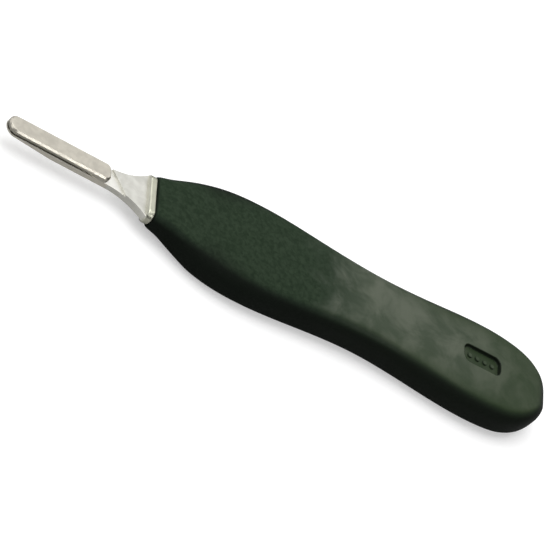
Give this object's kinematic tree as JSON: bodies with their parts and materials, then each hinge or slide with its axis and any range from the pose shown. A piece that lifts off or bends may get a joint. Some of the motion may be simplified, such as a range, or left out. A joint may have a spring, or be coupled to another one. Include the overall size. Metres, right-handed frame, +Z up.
{
  "type": "scalpel handle",
  "caption": "Surgical scalpel handle: a steel bayonet fitting for a replaceable blade, a flared neck and a collar, moulded into a waisted dark plastic grip.",
  "frame": {"origin": "centre of the handle's length and width, on the plane of the flat underside that it rests on", "axes": "+X along the handle from the blade end to the rear end, +Y across it, +Z up through its thickness"},
  "size_m": [0.1488, 0.0268, 0.0096],
  "materials": {
    "steel": "satin forged stainless steel with bright bevelled edges",
    "grip_plastic": "green-black moulded plastic, satin, with a fine pebbled grain on its front half"
  },
  "bodies": {
    "root": {"blade_holder": "steel", "grip": "grip_plastic"}
  },
  "joints": []
}
